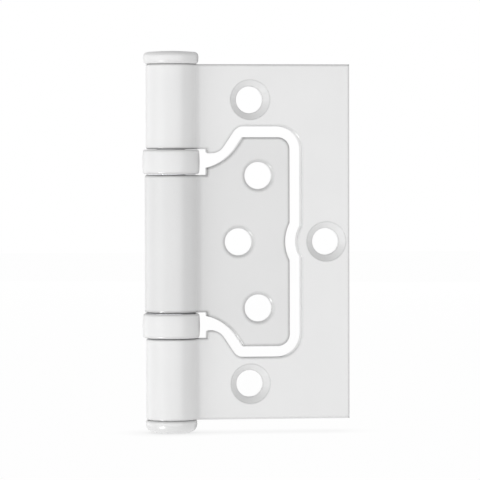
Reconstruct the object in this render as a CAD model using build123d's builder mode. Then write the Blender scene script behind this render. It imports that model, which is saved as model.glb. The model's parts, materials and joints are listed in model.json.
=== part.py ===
from build123d import *
import os
from math import acos, atan2, cos, degrees, radians, sin, sqrt, tan

# A non-mortise (butterfly) hinge in its closed position: the inner leaf lies nested in the
# window of the outer leaf, and both leaves share one plane with the pin's axis in its middle.
# Millimetres. Z runs up the pin, X runs from the pin out along the leaves, and the countersunk
# face of the outer leaf, the front, looks along -Y. The origin is on the axis at mid leaf.

os.makedirs("parts", exist_ok=True)

# Driving dimensions: the sheet, the outer leaf and its curl
sheet = 2.5
leaf_height = 75.0
outer_reach = 37.95
outer_curl_wall = 2.25
bend_radius = 1.5
curl_seam = 0.35
edge_round = 0.45

# Driving dimensions: the window in the outer leaf and the inner leaf that nests in it
window_reach = 27.6
window_end_strip = 13.1
window_corner = 5.0
window_shoulder = 14.0
shoulder_round = 2.5
flank_angle = 56.0
neck_drop = 5.7
neck_round = 3.0
slot_reach = 7.5
slot_round = 0.45
leaf_gap = 2.3
reach_gap = 2.45
flank_gap = 2.3
flank_straight = 2.5
throat_radius = 10.5

# Driving dimensions: screw holes, each pair being the same distance above and below mid leaf,
# with margins from the ends and the free edge of its own leaf
hole_diameter = 5.7
countersink_diameter = 8.4
countersink_angle = 90.0
hole_round = 0.7
outer_pair_reach = 16.7
outer_pair_end_margin = 7.5
outer_edge_hole_margin = 5.0
boss_radius = 6.3
inner_pair_edge_margin = 6.75
inner_pair_end_margin = 8.1
inner_centre_hole_reach = 14.2

# Driving dimensions: pin, knuckles and end caps
pin_diameter = 6.0
pin_play = 0.05
pin_chamfer = 0.5
end_knuckle = 17.55
knuckle_drop = 0.35
axial_play = 0.1
cap_spigot = 5.0
spigot_play = 0.02
pin_end_gap = 0.3
cap_height = 2.75
cap_dome = 0.3
top_cap_diameter = 11.65
top_cap_foot_round = 0.8
top_cap_round = 0.9
bottom_cap_diameter = 10.85
bottom_cap_foot_round = 0.45
bottom_cap_round = 1.8

# Driving dimensions: the two ball bearings between the knuckles
bearing_height = 5.25
shell_proud = 0.5
shell_crown = 0.15
shell_end_wall = 0.6
shell_round = 0.5
shell_relief = 0.1
race_pin_play = 0.1
race_seat_play = 0.02
race_running_play = 0.12
ball_diameter = 1.5
ball_count = 8
ball_play = 0.02
groove_depth = 0.25
groove_conformity = 1.08
pocket_play = 0.05
cage_play = 0.15
cage_rim_play = 0.1

# Worked out from the driving dimensions
pin_radius = pin_diameter / 2
bore_radius = pin_radius + pin_play
barrel_radius = bore_radius + sheet
bend_y = sheet / 2 + bend_radius
bend_x = sqrt((barrel_radius + bend_radius) ** 2 - bend_y**2)
bend_angle = degrees(atan2(bend_y, bend_x))
leaf_top = leaf_height / 2
outer_edge_hole_reach = outer_reach - outer_edge_hole_margin
bearing_space = bearing_height + 2 * axial_play
middle_top = leaf_top - end_knuckle - bearing_space - knuckle_drop
middle_bottom = -leaf_top + end_knuckle + bearing_space - knuckle_drop
upper_knuckle_level = middle_top + bearing_space
lower_knuckle_level = middle_bottom - bearing_space
window_top = leaf_top - window_end_strip
neck_level = window_top - neck_drop
inner_reach = window_reach - reach_gap
inner_top = window_top - leaf_gap
outer_pair_level = leaf_top - outer_pair_end_margin
inner_pair_level = inner_top - inner_pair_end_margin
inner_pair_reach = inner_reach - inner_pair_edge_margin
shell_radius = barrel_radius + shell_proud
shell_end_radius = shell_radius - shell_crown
shell_bore = shell_end_radius - shell_end_wall
race_bore = pin_radius + race_pin_play
land_gap = ball_diameter - 2 * groove_depth
ball_pitch_radius = (race_bore + shell_bore) / 2
beyond = 2 * (barrel_radius + sheet)
same_place = 0.001


def touches(first, second):
    """Whether two places, each a tuple of coordinates, are the same."""
    return all(abs(a - b) < same_place for a, b in zip(first, second))


def save(piece, label):
    """Label a finished piece and write its file."""
    piece.part.label = label
    export_step(piece.part, f"parts/{label}.step")


def front_rims():
    """Edges that the punch rolled over, round a leaf's front: all but the holes and the bend."""
    on_face = edges().filter_by_position(Axis.Y, -sheet / 2, -sheet / 2)
    along_bend = on_face.filter_by(Axis.Z).filter_by_position(Axis.X, 0, bend_x)
    return on_face - along_bend - front_holes()


def front_holes():
    """Rims of the screw holes in a leaf's front."""
    on_face = edges().filter_by_position(Axis.Y, -sheet / 2, -sheet / 2)
    return on_face.filter_by(lambda edge: edge.is_closed)


def curl_end_angle(curl_radius):
    """Angle at which the curl stops, one seam short of the sheet where it leaves the barrel."""
    to_bend = barrel_radius + bend_radius
    clear = sheet + bend_radius + curl_seam
    cosine = (curl_radius**2 + to_bend**2 - clear**2) / (2 * curl_radius * to_bend)
    return degrees(acos(cosine)) - bend_angle


def leaf_section(reach, wall):
    """Sketch a leaf's section: flat sheet, S-bend, and the curl round the pin over the front."""
    curl_radius = bore_radius + wall
    front_bend_x = sqrt((curl_radius + bend_radius) ** 2 - bend_y**2)
    front_angle = degrees(atan2(bend_y, front_bend_x))
    end_angle = curl_end_angle(curl_radius)
    end = Vector(cos(radians(end_angle)), sin(radians(end_angle)))
    with BuildSketch() as section:
        with BuildLine():
            CenterArc((0, 0), curl_radius, -front_angle, end_angle + front_angle - 360)
            Line(end * curl_radius, end * bore_radius)
            CenterArc((0, 0), bore_radius, end_angle, 360 - end_angle - bend_angle)
            CenterArc((bend_x, -bend_y), sheet + bend_radius, 180 - bend_angle, bend_angle - 90)
            Polyline((bend_x, sheet / 2), (reach, sheet / 2), (reach, -sheet / 2),
                     (front_bend_x, -sheet / 2))
            CenterArc((front_bend_x, -bend_y), bend_radius, 90, 90 - front_angle)
        make_face()
    return section.sketch


def window_outline():
    """Sketch what is punched out of the outer leaf: window, flanks, slots and knuckle gap."""
    neck_x = window_shoulder - (window_top - neck_level) / tan(radians(flank_angle))
    necks = [(slot_reach, neck_level), (neck_x, neck_level)]
    shoulder = [(window_shoulder, window_top), (window_reach, window_top)]
    upper = [(-beyond, upper_knuckle_level), (slot_reach, upper_knuckle_level)] + necks + shoulder
    below = [(x, -z) for x, z in reversed(necks + shoulder)]
    lower = below + [(slot_reach, lower_knuckle_level), (-beyond, lower_knuckle_level)]
    rounds = [slot_round, neck_round, shoulder_round, window_corner]
    with BuildSketch() as window:
        with BuildLine():
            Polyline(*upper, *lower, close=True)
        make_face()
        for (x, z), radius in zip(necks + shoulder, rounds):
            fillet(vertices().filter_by(lambda v: touches((v.X, abs(v.Y)), (x, z))), radius)
        with Locations((outer_edge_hole_reach, 0)):
            Circle(boss_radius, mode=Mode.SUBTRACT)
    return window.sketch


def inner_outline():
    """Sketch the outline of the inner leaf, one gap smaller than the window it nests in."""
    slope = radians(flank_angle)
    corner_x = window_shoulder - leaf_gap / tan(slope) + flank_gap / sin(slope)
    tangent_x = corner_x - flank_straight * cos(slope)
    tangent_z = inner_top - flank_straight * sin(slope)
    centre_x = tangent_x - throat_radius * sin(slope)
    centre_z = tangent_z + throat_radius * cos(slope)
    throat_z = centre_z - sqrt(throat_radius**2 - (slot_reach - centre_x) ** 2)
    with BuildSketch() as outline:
        with BuildLine():
            Polyline((-beyond, middle_top), (slot_reach, middle_top), (slot_reach, throat_z))
            RadiusArc((slot_reach, throat_z), (tangent_x, tangent_z), -throat_radius)
            Polyline((tangent_x, tangent_z), (corner_x, inner_top), (inner_reach, inner_top),
                     (inner_reach, -inner_top), (corner_x, -inner_top), (tangent_x, -tangent_z))
            RadiusArc((tangent_x, -tangent_z), (slot_reach, -throat_z), -throat_radius)
            Polyline((slot_reach, -throat_z), (slot_reach, middle_bottom), (-beyond, middle_bottom),
                     (-beyond, middle_top))
        make_face()
        right_corners = vertices().filter_by(lambda v: touches((v.X,), (inner_reach,)))
        fillet(right_corners, window_corner - reach_gap)
        with Locations((outer_edge_hole_reach, 0)):
            Circle(boss_radius + reach_gap, mode=Mode.SUBTRACT)
    return outline.sketch


with BuildPart() as outer_leaf:
    with BuildSketch(Plane.XY.offset(-leaf_height / 2)):
        add(leaf_section(outer_reach, outer_curl_wall))
    extrude(amount=leaf_height)
    with BuildSketch(Plane.XZ):
        add(window_outline())
    extrude(amount=beyond, both=True, mode=Mode.SUBTRACT)
    with Locations(Plane.XZ.offset(sheet / 2)):
        with Locations((outer_edge_hole_reach, 0), (outer_pair_reach, outer_pair_level),
                       (outer_pair_reach, -outer_pair_level)):
            CounterSinkHole(hole_diameter / 2, countersink_diameter / 2,
                            counter_sink_angle=countersink_angle)
    fillet(front_rims(), edge_round)
save(outer_leaf, "outer_leaf")

with BuildPart() as inner_leaf:
    with BuildSketch(Plane.XY.offset(-leaf_height / 2)):
        add(leaf_section(inner_reach, sheet))
    extrude(amount=leaf_height)
    with BuildSketch(Plane.XZ):
        add(inner_outline())
    extrude(amount=beyond, both=True, mode=Mode.INTERSECT)
    with Locations(Plane.ZX.offset(sheet / 2)):
        with Locations((0, inner_centre_hole_reach), (inner_pair_level, inner_pair_reach),
                       (-inner_pair_level, inner_pair_reach)):
            CounterSinkHole(hole_diameter / 2, countersink_diameter / 2,
                            counter_sink_angle=countersink_angle)
    fillet(front_rims(), edge_round)
    fillet(front_holes(), hole_round)
save(inner_leaf, "inner_leaf")

with BuildPart() as hinge_pin:
    pin_end = leaf_top - cap_spigot - pin_end_gap
    with BuildSketch(Plane.XY.offset(-pin_end)):
        Circle(pin_radius)
    extrude(amount=2 * pin_end)
    chamfer(hinge_pin.faces().filter_by(Axis.Z).edges(), pin_chamfer)
save(hinge_pin, "hinge_pin")


def button_cap(diameter, foot_round, rim_round):
    """A turned button with a slightly domed face and a spigot pressed into the top knuckle."""
    spigot_radius = bore_radius - spigot_play
    rim_level = leaf_top + cap_height - cap_dome
    with BuildPart() as cap:
        with BuildSketch(Plane.XZ):
            with BuildLine():
                Polyline((0, leaf_top + cap_height), (0, leaf_top - cap_spigot),
                         (spigot_radius, leaf_top - cap_spigot), (spigot_radius, leaf_top),
                         (diameter / 2, leaf_top), (diameter / 2, rim_level))
                TangentArc((0, leaf_top + cap_height), (diameter / 2, rim_level), tangent=(1, 0))
            make_face()
            for level, radius in ((leaf_top, foot_round), (rim_level, rim_round)):
                corner = vertices().filter_by(lambda v: touches((v.X, v.Y), (diameter / 2, level)))
                fillet(corner, radius)
        revolve(axis=Axis.Z)
    return cap


top_cap = button_cap(top_cap_diameter, top_cap_foot_round, top_cap_round)
save(top_cap, "top_cap")

bottom_button = button_cap(bottom_cap_diameter, bottom_cap_foot_round, bottom_cap_round)
with BuildPart() as bottom_cap:
    add(mirror(bottom_button.part, about=Plane.XY))
save(bottom_cap, "bottom_cap")


def bearing_shell(fixed_level, running_level):
    """The crowned outer ring, flush with the fixed race and a little short of the running one."""
    towards = 1 if running_level > fixed_level else -1
    end_level = running_level - towards * shell_relief
    with BuildPart() as shell:
        with BuildSketch(Plane.XZ):
            with BuildLine():
                crown = ThreePointArc((shell_end_radius, fixed_level),
                                      (shell_radius, (fixed_level + end_level) / 2),
                                      (shell_end_radius, end_level))
                Polyline(crown @ 1, (shell_bore, end_level), (shell_bore, fixed_level), crown @ 0)
            make_face()
            rims = vertices().filter_by(lambda v: touches((v.X,), (shell_end_radius,)))
            fillet(rims, shell_round)
        revolve(axis=Axis.Z)
    return shell


def race(face_level, ball_level, outer_radius):
    """A washer with a ball groove, from its flat face to the land beside the balls."""
    towards = 1 if ball_level > face_level else -1
    land_level = ball_level - towards * land_gap / 2
    groove_radius = ball_diameter / 2 * groove_conformity
    groove_level = ball_level + towards * (groove_radius - ball_diameter / 2 - ball_play)
    with BuildPart() as washer:
        with BuildSketch(Plane.XZ):
            with BuildLine():
                Polyline((race_bore, face_level), (outer_radius, face_level),
                         (outer_radius, land_level), (race_bore, land_level), close=True)
            make_face()
            with Locations((ball_pitch_radius, groove_level)):
                Circle(groove_radius, mode=Mode.SUBTRACT)
        revolve(axis=Axis.Z)
    return washer


def ball_cage(ball_level):
    """The flat ring that spaces the balls, with one round pocket for each."""
    thickness = land_gap - 2 * cage_play
    with BuildPart() as cage:
        with BuildSketch(Plane.XY.offset(ball_level - thickness / 2)):
            Circle(shell_bore - cage_rim_play)
            Circle(race_bore + cage_rim_play, mode=Mode.SUBTRACT)
            with PolarLocations(ball_pitch_radius, ball_count):
                Circle(ball_diameter / 2 + pocket_play, mode=Mode.SUBTRACT)
        extrude(amount=thickness)
    return cage


def ball(ball_level, angle):
    """One bearing ball at its place on the pitch circle."""
    along = ball_pitch_radius * cos(radians(angle))
    across = ball_pitch_radius * sin(radians(angle))
    with BuildPart() as sphere:
        with Locations((along, across, ball_level)):
            Sphere(ball_diameter / 2)
    return sphere


fixed_levels = {"upper": upper_knuckle_level - axial_play, "lower": lower_knuckle_level + axial_play}
running_levels = {"upper": middle_top + axial_play, "lower": middle_bottom - axial_play}

for place, fixed_level in fixed_levels.items():
    running_level = running_levels[place]
    ball_level = (fixed_level + running_level) / 2
    save(bearing_shell(fixed_level, running_level), f"{place}_bearing_shell")
    save(race(fixed_level, ball_level, shell_bore - race_seat_play), f"{place}_fixed_race")
    save(race(running_level, ball_level, shell_bore - race_running_play), f"{place}_running_race")
    save(ball_cage(ball_level), f"{place}_ball_cage")
    for number in range(ball_count):
        save(ball(ball_level, number * 360 / ball_count), f"{place}_ball_{number + 1}")
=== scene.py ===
import json
from math import cos, radians, sin

import bpy
from mathutils import Matrix, Vector


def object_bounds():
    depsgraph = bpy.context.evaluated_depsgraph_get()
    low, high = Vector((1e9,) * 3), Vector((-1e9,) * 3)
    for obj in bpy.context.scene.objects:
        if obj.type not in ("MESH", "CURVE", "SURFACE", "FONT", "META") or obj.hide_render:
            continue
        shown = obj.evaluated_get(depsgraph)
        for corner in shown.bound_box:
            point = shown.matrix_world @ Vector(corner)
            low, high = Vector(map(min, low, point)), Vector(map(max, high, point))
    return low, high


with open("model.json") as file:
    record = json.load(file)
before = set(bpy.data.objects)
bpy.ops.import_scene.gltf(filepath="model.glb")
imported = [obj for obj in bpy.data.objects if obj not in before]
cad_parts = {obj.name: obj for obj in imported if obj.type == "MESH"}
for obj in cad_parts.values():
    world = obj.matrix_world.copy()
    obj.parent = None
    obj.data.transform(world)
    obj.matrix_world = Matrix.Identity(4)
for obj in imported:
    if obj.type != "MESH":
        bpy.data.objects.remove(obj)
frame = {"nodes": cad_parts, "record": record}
cad_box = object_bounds()

MM = 0.001
SENSOR_MM = 36
NOISE_LOW, NOISE_HIGH = 0.3, 0.7  # most of a noise texture's values lie between these


class Material:
    """A node material whose pattern comes from a node's own coordinates, in millimetres."""

    def __init__(self, name):
        self.material = bpy.data.materials.new(name)
        self.material.use_nodes = True
        tree = self.material.node_tree
        self.nodes = tree.nodes
        self.links = tree.links
        self.shader = self.nodes["Principled BSDF"]
        place = self.nodes.new("ShaderNodeTexCoord")
        scale = self.nodes.new("ShaderNodeVectorMath")
        scale.operation = "SCALE"
        scale.inputs["Scale"].default_value = 1 / MM
        self.links.new(place.outputs["Object"], scale.inputs[0])
        self.place = scale.outputs[0]

    def set(self, **values):
        """Set constants on the shader's own sockets."""
        for socket, value in values.items():
            self.shader.inputs[socket.replace("_", " ")].default_value = value

    def noise(self, scale, detail=2.0, stretch=(1, 1, 1), place=None):
        """Noise with about scale cells a millimetre, drawn out where its stretch is small."""
        mapping = self.nodes.new("ShaderNodeMapping")
        mapping.inputs["Scale"].default_value = stretch
        self.links.new(place or self.place, mapping.inputs["Vector"])
        noise = self.nodes.new("ShaderNodeTexNoise")
        noise.inputs["Scale"].default_value = scale
        noise.inputs["Detail"].default_value = detail
        self.links.new(mapping.outputs["Vector"], noise.inputs["Vector"])
        return noise.outputs["Fac"]

    def remap(self, value, low, high, start=NOISE_LOW, stop=NOISE_HIGH):
        """Spread a value that runs from start to stop between low and high."""
        span = self.nodes.new("ShaderNodeMapRange")
        span.inputs["From Min"].default_value = start
        span.inputs["From Max"].default_value = stop
        span.inputs["To Min"].default_value = low
        span.inputs["To Max"].default_value = high
        self.links.new(value, span.inputs["Value"])
        return span.outputs["Result"]

    def colour(self, value, low, high, painted_shade=None):
        """Colour the shader by a noise value, from a low to a high colour, dimmed by a painted
        shade mask.
        """
        ramp = self.nodes.new("ShaderNodeValToRGB")
        first, last = ramp.color_ramp.elements
        first.position, first.color = NOISE_LOW, (*low, 1)
        last.position, last.color = NOISE_HIGH, (*high, 1)
        self.links.new(value, ramp.inputs["Fac"])
        result = ramp.outputs["Color"]
        if painted_shade:
            dim = self.nodes.new("ShaderNodeVectorMath")
            dim.operation = "SCALE"
            self.links.new(result, dim.inputs[0])
            self.links.new(painted_shade, dim.inputs["Scale"])
            result = dim.outputs[0]
        self.links.new(result, self.shader.inputs["Base Color"])

    def near(self, inside, reach_mm, low, start, stop):
        """1 on broad surfaces, down to low along outer edges (inside) or in crevices (not)."""
        around = self.nodes.new("ShaderNodeAmbientOcclusion")
        around.inside = inside
        around.samples = 8
        around.inputs["Distance"].default_value = reach_mm * MM
        return self.remap(around.outputs["AO"], low, 1.0, start, stop)

    def product(self, first, second):
        """Two values multiplied."""
        times = self.nodes.new("ShaderNodeMath")
        times.operation = "MULTIPLY"
        self.links.new(first, times.inputs[0])
        self.links.new(second, times.inputs[1])
        return times.outputs[0]

    def roughness(self, value):
        self.links.new(value, self.shader.inputs["Roughness"])

    def bump(self, value, depth_mm, strength=1.0, normal=None):
        """Raise the surface by a value times a depth, on top of an earlier normal."""
        bump = self.nodes.new("ShaderNodeBump")
        bump.inputs["Strength"].default_value = strength
        bump.inputs["Distance"].default_value = depth_mm * MM
        self.links.new(value, bump.inputs["Height"])
        if normal:
            self.links.new(normal, bump.inputs["Normal"])
        return bump.outputs["Normal"]

    def soft_edges(self, radius_mm):
        """Shade edges as if rounded, as a thick coat or a tumbled stamping has them."""
        bevel = self.nodes.new("ShaderNodeBevel")
        bevel.samples = 6
        bevel.inputs["Radius"].default_value = radius_mm * MM
        return bevel.outputs["Normal"]

    def normal(self, value):
        self.links.new(value, self.shader.inputs["Normal"])

    def around(self):
        """Place as (distance from the pin's axis, 0, height), for marks that a lathe leaves."""
        split = self.nodes.new("ShaderNodeSeparateXYZ")
        self.links.new(self.place, split.inputs[0])
        flat = self.nodes.new("ShaderNodeCombineXYZ")
        self.links.new(split.outputs["X"], flat.inputs["X"])
        self.links.new(split.outputs["Y"], flat.inputs["Y"])
        reach = self.nodes.new("ShaderNodeVectorMath")
        reach.operation = "LENGTH"
        self.links.new(flat.outputs[0], reach.inputs[0])
        turned = self.nodes.new("ShaderNodeCombineXYZ")
        self.links.new(reach.outputs["Value"], turned.inputs["X"])
        self.links.new(split.outputs["Z"], turned.inputs["Z"])
        return turned.outputs[0]


def white_coat(name, shade, edge_mm, edge_shade):
    """Satin white enamel: faint orange peel, cloudy gloss, and painted shade along its edges and
    in its crevices.
    """
    spread = 0.008
    coat = Material(name)
    coat.set(IOR=1.5)
    # painted shade: ambient occlusion darkens the base colour along outer edges
    painted_edge_shade = coat.near(inside=True, reach_mm=edge_mm, low=edge_shade, start=0.78, stop=0.97)
    # painted shade: ambient occlusion darkens the base colour in crevices and joints
    painted_crevice_shade = coat.near(inside=False, reach_mm=0.6, low=0.6, start=0.2, stop=0.9)
    coat.colour(coat.noise(scale=0.09, detail=3), low=(shade - spread,) * 3,
                high=(shade + spread,) * 3, painted_shade=coat.product(painted_edge_shade, painted_crevice_shade))
    coat.roughness(coat.remap(coat.noise(scale=0.25, detail=1), low=0.28, high=0.3))
    peel = coat.bump(coat.noise(scale=1.3, detail=1), depth_mm=0.003, strength=0.5,
                     normal=coat.soft_edges(radius_mm=0.3))
    grain = coat.bump(coat.noise(scale=7.0, detail=1), depth_mm=0.0015, strength=0.5, normal=peel)
    coat.normal(grain)
    return coat.material


def turned_steel(name, dull, bright, roughness):
    """Steel off a lathe: fine rings round the axis, cloudy plating, and painted shade in gaps."""
    steel = Material(name)
    steel.set(Metallic=1.0)
    rings = steel.noise(scale=14.0, detail=3, place=steel.around())
    # painted shade: ambient occlusion darkens the steel's colour in gaps
    painted_gap_shade = steel.near(inside=False, reach_mm=1.2, low=0.9, start=0.3, stop=0.95)
    steel.colour(steel.noise(scale=0.8, detail=3), dull, bright, painted_shade=painted_gap_shade)
    steel.roughness(steel.remap(rings, *roughness))
    steel.normal(steel.bump(rings, depth_mm=0.004, strength=0.4,
                            normal=steel.soft_edges(radius_mm=0.05)))
    return steel.material


def ball_steel():
    """Polished bearing steel with a trace of haze."""
    ball = Material("ball_steel")
    ball.set(Metallic=1.0)
    haze = ball.noise(scale=3.0, detail=2)
    ball.colour(haze, low=(0.72, 0.72, 0.74), high=(0.8, 0.8, 0.82))
    ball.roughness(ball.remap(haze, low=0.05, high=0.12))
    return ball.material


def cage_brass():
    """Stamped brass strip, rolled along one direction and darker where it has tarnished."""
    brass = Material("cage_brass")
    brass.set(Metallic=1.0)
    tarnish = brass.noise(scale=1.1, detail=4)
    brass.colour(tarnish, low=(0.62, 0.46, 0.2), high=(0.8, 0.62, 0.32))
    rolled = brass.noise(scale=9.0, detail=2, stretch=(0.08, 1, 1))
    brass.roughness(brass.remap(rolled, low=0.24, high=0.4))
    brass.normal(brass.bump(rolled, depth_mm=0.003, strength=0.4,
                            normal=brass.soft_edges(radius_mm=0.04)))
    return brass.material


materials = {
    "white_coat": white_coat("white_coat", 0.765, edge_mm=0.45, edge_shade=0.6),
    "outer_white_coat": white_coat("outer_white_coat", 0.765, edge_mm=0.35, edge_shade=0.6),
    # painted shade: a darker copy of the white coat for the inner leaf, with wider and darker
    # painted edge shade
    "shaded_inner_white_coat": white_coat("shaded_inner_white_coat", 0.71, edge_mm=0.55, edge_shade=0.4),
    "pin_steel": turned_steel("pin_steel", dull=(0.56, 0.57, 0.58), bright=(0.66, 0.66, 0.67),
                              roughness=(0.24, 0.36)),
    "race_steel": turned_steel("race_steel", dull=(0.46, 0.46, 0.48), bright=(0.54, 0.54, 0.56),
                               roughness=(0.2, 0.32)),
    "ball_steel": ball_steel(),
    "cage_brass": cage_brass(),
}
finishes = {"outer_leaf": "outer_white_coat", "inner_leaf": "shaded_inner_white_coat"}
for part in frame["record"]["subparts"]:
    node = frame["nodes"][part["node"]]
    node.data.materials.clear()
    node.data.materials.append(materials[finishes.get(part["node"], part["material_slot"])])


def see_through(tree, seen, lit):
    """A value that is seen by the camera and by gloss and glass, and lit to the other rays."""
    path = tree.nodes.new("ShaderNodeLightPath")
    rays = ["Is Camera Ray", "Is Glossy Ray", "Is Transmission Ray"]
    total = path.outputs[rays[0]]
    for ray in rays[1:]:
        either = tree.nodes.new("ShaderNodeMath")
        either.operation = "MAXIMUM"
        tree.links.new(total, either.inputs[0])
        tree.links.new(path.outputs[ray], either.inputs[1])
        total = either.outputs[0]
    mix = tree.nodes.new("ShaderNodeMapRange")
    mix.inputs["To Min"].default_value = lit
    mix.inputs["To Max"].default_value = seen
    tree.links.new(total, mix.inputs["Value"])
    return mix


def make_world(seen, horizon, zenith):
    """A white room, whose light falls off from the horizon to the zenith."""
    world = bpy.data.worlds.new("studio")
    world.use_nodes = True
    tree = world.node_tree
    background = tree.nodes["Background"]
    background.inputs["Color"].default_value = (1, 1, 1, 1)
    towards = tree.nodes.new("ShaderNodeTexCoord")
    split = tree.nodes.new("ShaderNodeSeparateXYZ")
    tree.links.new(towards.outputs["Generated"], split.inputs[0])
    fall = tree.nodes.new("ShaderNodeMapRange")
    fall.inputs["To Min"].default_value = horizon
    fall.inputs["To Max"].default_value = zenith
    tree.links.new(split.outputs["Z"], fall.inputs["Value"])
    strength = see_through(tree, seen, horizon)
    tree.links.new(fall.outputs["Result"], strength.inputs["To Min"])
    tree.links.new(strength.outputs["Result"], background.inputs["Strength"])
    bpy.context.scene.world = world


def square(name, half, level):
    """A flat square at a level, whose middle is at the origin."""
    corners = [(-half, -half, level), (half, -half, level), (half, half, level),
               (-half, half, level)]
    mesh = bpy.data.meshes.new(name)
    mesh.from_pydata(corners, [], [(0, 1, 2, 3)])
    return bpy.data.objects.new(name, mesh)


def make_floor(level, half_width, glow, lit, shadow_mm):
    """A white floor that keeps the object's shadow under it, and lets low lamps through."""
    floor = square("floor", half_width, level)
    floor.visible_shadow = False
    floor.visible_glossy = False
    bpy.context.scene.collection.objects.link(floor)
    paper = Material("floor_paper")
    paper.set(Specular_IOR_Level=0.0, Roughness=1.0)
    paper.colour(paper.noise(scale=0.02), low=(0.84, 0.84, 0.84), high=(0.86, 0.86, 0.86))
    light = paper.nodes.new("ShaderNodeEmission")
    shadow = paper.near(inside=False, reach_mm=shadow_mm, low=0.8, start=0, stop=1)
    paper.links.new(shadow, light.inputs["Strength"])
    mix = paper.nodes.new("ShaderNodeMixShader")
    share = see_through(paper.material.node_tree, glow, lit)
    paper.links.new(share.outputs["Result"], mix.inputs["Fac"])
    paper.links.new(paper.shader.outputs[0], mix.inputs[1])
    paper.links.new(light.outputs[0], mix.inputs[2])
    paper.links.new(mix.outputs[0], paper.nodes["Material Output"].inputs["Surface"])
    floor.data.materials.append(paper.material)


def make_lamp(name, azimuth, elevation, distance, size, power, target, lights):
    """A soft box of (width, height) facing the target, that lights diffuse or glossy surfaces."""
    lamp = bpy.data.lights.new(name, "AREA")
    lamp.shape = "RECTANGLE"
    lamp.size, lamp.size_y = size
    lamp.energy = power
    item = bpy.data.objects.new(name, lamp)
    item.visible_camera = False
    item.visible_diffuse = lights == "diffuse"
    item.visible_glossy = lights == "glossy"
    bpy.context.scene.collection.objects.link(item)
    place_facing(item, azimuth, elevation, distance, target, 0)


def make_flag(azimuth, distance, size, target):
    """A black card that only gloss sees, so that round edges on its side end in a dark line."""
    card = Material("flag_card")
    card.set(Base_Color=(0, 0, 0, 1), Specular_IOR_Level=0.0, Roughness=1.0)
    flag = square("flag", size / 2, 0)
    flag.data.materials.append(card.material)
    flag.visible_camera = False
    flag.visible_diffuse = False
    flag.visible_transmission = False
    flag.visible_shadow = False
    bpy.context.scene.collection.objects.link(flag)
    place_facing(flag, azimuth, 0, distance, target, 0)


def place_facing(item, azimuth, elevation, distance, target, roll):
    """Put an item round the target, looking at it. Azimuth 0 is straight in front, at -Y."""
    turn, rise = radians(azimuth), radians(elevation)
    back = Vector((sin(turn) * cos(rise), -cos(turn) * cos(rise), sin(rise)))
    right = Vector((cos(turn), sin(turn), 0))
    up = back.cross(right)
    axes = Matrix((right, up, back)).transposed().to_4x4()
    item.matrix_world = (Matrix.Translation(target + back * distance) @ axes
                         @ Matrix.Rotation(radians(roll), 4, "Z"))


def make_camera(azimuth, elevation, distance, width, target, roll):
    """A long lens that sees a square of the given width at the target."""
    lens = bpy.data.cameras.new("camera")
    lens.sensor_width = SENSOR_MM
    lens.lens = SENSOR_MM * distance / width
    lens.clip_start = 0.01
    camera = bpy.data.objects.new("camera", lens)
    bpy.context.scene.collection.objects.link(camera)
    place_facing(camera, azimuth, elevation, distance, target, roll)
    bpy.context.scene.camera = camera


centre = Vector((0.015, 0, 0))
make_world(seen=1.0, horizon=0.71, zenith=0.42)
make_floor(level=cad_box[0][2], half_width=1.5, glow=0.98, lit=0.95, shadow_mm=8)
make_lamp("key", azimuth=-55, elevation=0, distance=0.9, size=(0.5, 0.5), power=2.3,
          target=centre, lights="diffuse")
make_lamp("fill", azimuth=75, elevation=0, distance=0.9, size=(0.5, 0.5), power=0.35,
          target=centre, lights="diffuse")
make_lamp("back", azimuth=165, elevation=15, distance=0.9, size=(0.6, 0.6), power=1.4,
          target=centre, lights="diffuse")
make_lamp("wall", azimuth=-18, elevation=0, distance=0.6, size=(2.08, 0.44), power=5.4,
          target=centre, lights="glossy")
make_lamp("side", azimuth=-108, elevation=0, distance=0.6, size=(0.75, 0.44), power=1.3,
          target=centre, lights="glossy")
make_lamp("spark", azimuth=-55, elevation=-35, distance=0.9, size=(0.06, 0.06), power=6.0,
          target=centre, lights="glossy")
make_flag(azimuth=150, distance=0.6, size=0.56, target=centre)
make_camera(azimuth=-8.0, elevation=1.246, distance=0.75, width=0.101469,
            target=Vector((0.014666, 0, 0.00038)), roll=-0.109)
bpy.context.scene.view_settings.view_transform = "Standard"
